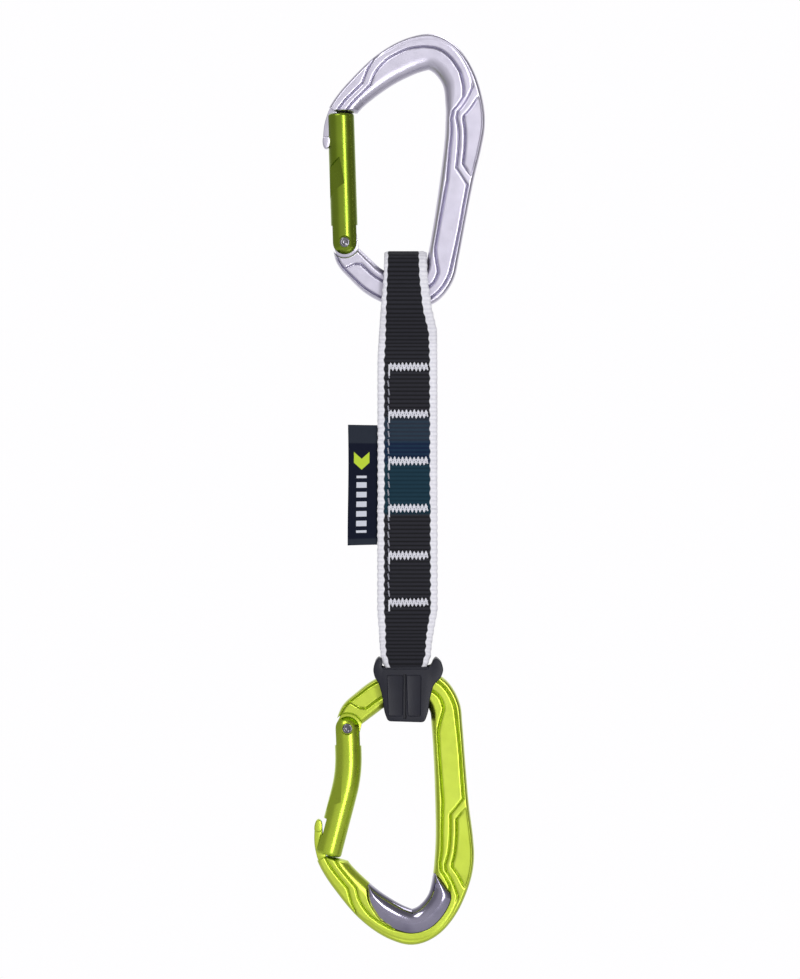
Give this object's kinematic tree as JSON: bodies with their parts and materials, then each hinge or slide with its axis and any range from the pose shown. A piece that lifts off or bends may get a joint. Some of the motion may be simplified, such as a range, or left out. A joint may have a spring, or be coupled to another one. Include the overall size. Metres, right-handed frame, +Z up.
{
  "type": "climbing quickdraw",
  "caption": "Climbing quickdraw: straight-gate bolt carabiner and bent-gate rope carabiner joined by a bar-tacked webbing sling with a rubber keeper.",
  "frame": {"origin": "inner apex of the upper carabiner's basket, in the middle of its thickness, where a bolt hanger bears", "axes": "+Z up along the hanging quickdraw, +X from the gates towards the spines, +Y through the thickness of the carabiners"},
  "size_m": [0.0637, 0.019, 0.3367],
  "materials": {
    "silver_anodised": "clear anodised, satin",
    "dark_green_anodised": "olive green anodised, glossy",
    "lime_anodised": "lime anodised, satin",
    "lime_gate_anodised": "lime anodised, satin",
    "polished_steel": "polished stainless",
    "rivet_steel": "bright",
    "plunger_steel": "ground",
    "spring_steel": "drawn wire",
    "webbing": "woven nylon, black with white selvedges and a blue-green band",
    "tack_thread": "bonded thread",
    "seam_thread": "bonded thread",
    "label_fabric": "woven satin tab",
    "keeper_rubber": "moulded, matt"
  },
  "bodies": {
    "top_carabiner": {"top_body": "silver_anodised", "top_gate_rivet": "rivet_steel"},
    "top_gate": {"top_gate": "dark_green_anodised", "top_gate_spring": "spring_steel"},
    "top_plunger": {"top_gate_plunger": "plunger_steel"},
    "upper_loop": {"webbing_upper_loop": "webbing"},
    "sling": {"webbing_core": "webbing", "bar_tack_1": "tack_thread", "bar_tack_2": "tack_thread", "bar_tack_3": "tack_thread", "bar_tack_4": "tack_thread", "bar_tack_5": "tack_thread", "bar_tack_6": "tack_thread", "side_seam": "seam_thread"},
    "label": {"label": "label_fabric"},
    "bottom_carabiner": {"webbing_lower_loop": "webbing", "keeper": "keeper_rubber", "bottom_body": "lime_anodised", "rope_insert": "polished_steel", "bottom_gate_rivet": "rivet_steel"},
    "bottom_gate": {"bottom_gate": "lime_gate_anodised", "bottom_gate_spring": "spring_steel"},
    "bottom_plunger": {"bottom_gate_plunger": "plunger_steel"}
  },
  "joints": [
    {"name": "top_gate_hinge", "type": "hinge", "parent": "top_carabiner", "child": "top_gate", "pos_m": [-0.03, 0, -0.0639], "axis": [0, 1, 0], "range_deg": [0, 30], "stiffness_Nm_per_rad": 0.3, "springref_deg": -28.65},
    {"name": "top_plunger_slide", "type": "slide", "parent": "top_gate", "child": "top_plunger", "axis": [-0.0314, 0, 0.9995], "range_m": [0, 0.001], "deforming": ["top_gate_spring"]},
    {"name": "sling_swing", "type": "hinge", "parent": "top_carabiner", "child": "upper_loop", "pos_m": [-0.007, 0, -0.068], "axis": [0, 1, 0], "range_deg": [-5, 5]},
    {"name": "sling_flex", "type": "hinge", "parent": "upper_loop", "child": "sling", "pos_m": [-0.00685, 0, -0.103], "axis": [1, 0, 0], "range_deg": [-90, 90]},
    {"name": "carabiner_flex", "type": "hinge", "parent": "sling", "child": "bottom_carabiner", "pos_m": [-0.00685, 0, -0.206], "axis": [1, 0, 0], "range_deg": [-90, 90]},
    {"name": "bottom_gate_hinge", "type": "hinge", "parent": "bottom_carabiner", "child": "bottom_gate", "pos_m": [-0.02902, 0, -0.24343], "axis": [0, -1, 0], "range_deg": [0, 30], "stiffness_Nm_per_rad": 0.3, "springref_deg": -28.65},
    {"name": "bottom_plunger_slide", "type": "slide", "parent": "bottom_gate", "child": "bottom_plunger", "axis": [-0.0209, 0, -0.9998], "range_m": [0, 0.001], "deforming": ["bottom_gate_spring"]},
    {"name": "label_fold", "type": "hinge", "parent": "sling", "child": "label", "pos_m": [-0.01885, 0, -0.1535], "axis": [0, 0, 1], "range_deg": [-60, 60], "stiffness_Nm_per_rad": 0.0005}
  ],
  "couplings": [
    {"joint": "top_plunger_slide", "follows": "top_gate_hinge", "m_per_rad": 0.0019099},
    {"joint": "bottom_plunger_slide", "follows": "bottom_gate_hinge", "m_per_rad": 0.0019099}
  ]
}
